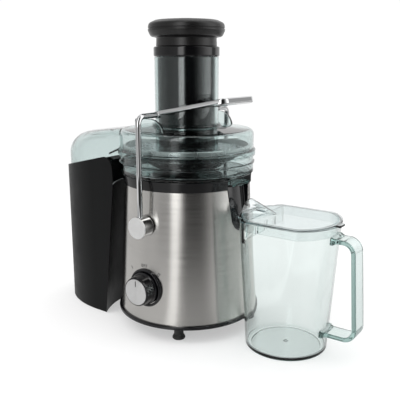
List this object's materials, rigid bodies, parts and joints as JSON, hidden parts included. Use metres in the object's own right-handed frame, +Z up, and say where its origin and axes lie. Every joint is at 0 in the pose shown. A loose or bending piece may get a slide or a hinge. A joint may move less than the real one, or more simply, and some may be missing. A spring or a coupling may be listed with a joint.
{
  "type": "centrifugal juicer",
  "caption": "Centrifugal juicer with brushed steel motor base, clear bowl and hooded lid, feed chute with pusher, locking chrome bail, pulp container and lidded juice jug",
  "frame": {"origin": "on the table under the middle of the whole set, with the jug and pulp container in place", "axes": "+Z up, -Y the side with the control knob, +X towards the juice jug, -X towards the pulp container"},
  "size_m": [0.4577, 0.2145, 0.401],
  "materials": {
    "rubber": "matte",
    "screw_steel": "satin",
    "black_plastic": "polished",
    "steel": "brushed",
    "clear": "clear, faintly green",
    "jug_clear": "clear, faintly green",
    "satin_black": "fine satin grain",
    "pusher_black": "satin",
    "chrome": "mirror",
    "hub_silver": "satin",
    "knob_silver": "turned",
    "iron": "laminated",
    "copper": "enamelled wire",
    "aluminium": "cast",
    "carbon": "dull",
    "ivory": "moulded",
    "switch_black": "moulded",
    "plunger_red": "moulded",
    "mesh_steel": "perforated"
  },
  "bodies": {
    "housing": {"rubber_feet": "rubber", "foot_screws": "screw_steel", "base_plate": "black_plastic", "steel_shell": "steel", "motor_deck": "black_plastic", "spout_recess": "black_plastic", "cord_gland": "rubber", "cord_clamp": "ivory", "terminal_block": "ivory", "suppressor": "ivory", "bowl": "clear", "lid": "clear", "feed_chute": "clear", "stator_core": "iron", "field_windings": "copper", "lower_bracket": "aluminium", "upper_bracket": "aluminium", "motor_bolts": "screw_steel", "rubber_mounts": "rubber", "mount_screws": "screw_steel", "lower_bearing": "screw_steel", "upper_bearing": "screw_steel", "brush_holders": "switch_black", "carbon_brushes": "carbon", "shaft_seal": "rubber", "knob_bezel": "black_plastic", "rotary_switch": "ivory", "interlock_switch": "switch_black"},
    "drive": {"motor_shaft": "screw_steel", "armature_core": "iron", "armature_windings": "copper", "commutator": "copper", "cooling_fan": "ivory", "drive_coupling": "black_plastic", "basket_hub": "black_plastic", "grater_disc": "mesh_steel", "filter_screen": "mesh_steel", "basket_rim": "mesh_steel"},
    "dial": {"knob": "black_plastic", "knob_face": "knob_silver", "switch_spindle": "ivory"},
    "bail": {"bail_rods": "chrome", "bail_crossbar": "chrome", "bail_hubs": "chrome", "hub_caps": "hub_silver", "pivot_pins": "screw_steel", "interlock_cam": "ivory"},
    "plunger": {"interlock_plunger": "plunger_red"},
    "pusher": {"pusher_body": "pusher_black", "pusher_cap": "pusher_black"},
    "pulp_bin": {"pulp_container": "satin_black"},
    "jug": {"jug_body": "jug_clear", "jug_handle": "jug_clear"},
    "jug_cover": {"jug_lid": "jug_clear", "froth_separator": "jug_clear"}
  },
  "joints": [
    {"name": "motor_spin", "type": "hinge", "parent": "housing", "child": "drive", "pos_m": [-0.02065, 0, 0.1], "axis": [0, 0, 1], "continuous": true},
    {"name": "knob_turn", "type": "hinge", "parent": "housing", "child": "dial", "pos_m": [-0.02065, -0.1, 0.068], "axis": [0, 1, 0], "range_deg": [-45, 45]},
    {"name": "bail_swing", "type": "hinge", "parent": "housing", "child": "bail", "pos_m": [-0.02065, 0, 0.1495], "axis": [0, 1, 0], "range_deg": [0, 50]},
    {"name": "plunger_slide", "type": "slide", "parent": "housing", "child": "plunger", "axis": [1, 0, 0], "range_m": [0, 0.0025]},
    {"name": "pusher_lift", "type": "slide", "parent": "housing", "child": "pusher", "axis": [0, 0, 1], "range_m": [0, 0.12]},
    {"name": "pulp_slide", "type": "slide", "parent": "housing", "child": "pulp_bin", "axis": [-1, 0, 0], "range_m": [0, 0.15]},
    {"name": "jug_slide", "type": "slide", "parent": "housing", "child": "jug", "axis": [1, 0, 0], "range_m": [-0.006, 0.15]},
    {"name": "jug_lid_lift", "type": "slide", "parent": "jug", "child": "jug_cover", "axis": [0, 0, 1], "range_m": [0, 0.06]}
  ],
  "couplings": [
    {"joint": "plunger_slide", "follows": "bail_swing", "m_per_rad": 0.00275}
  ]
}
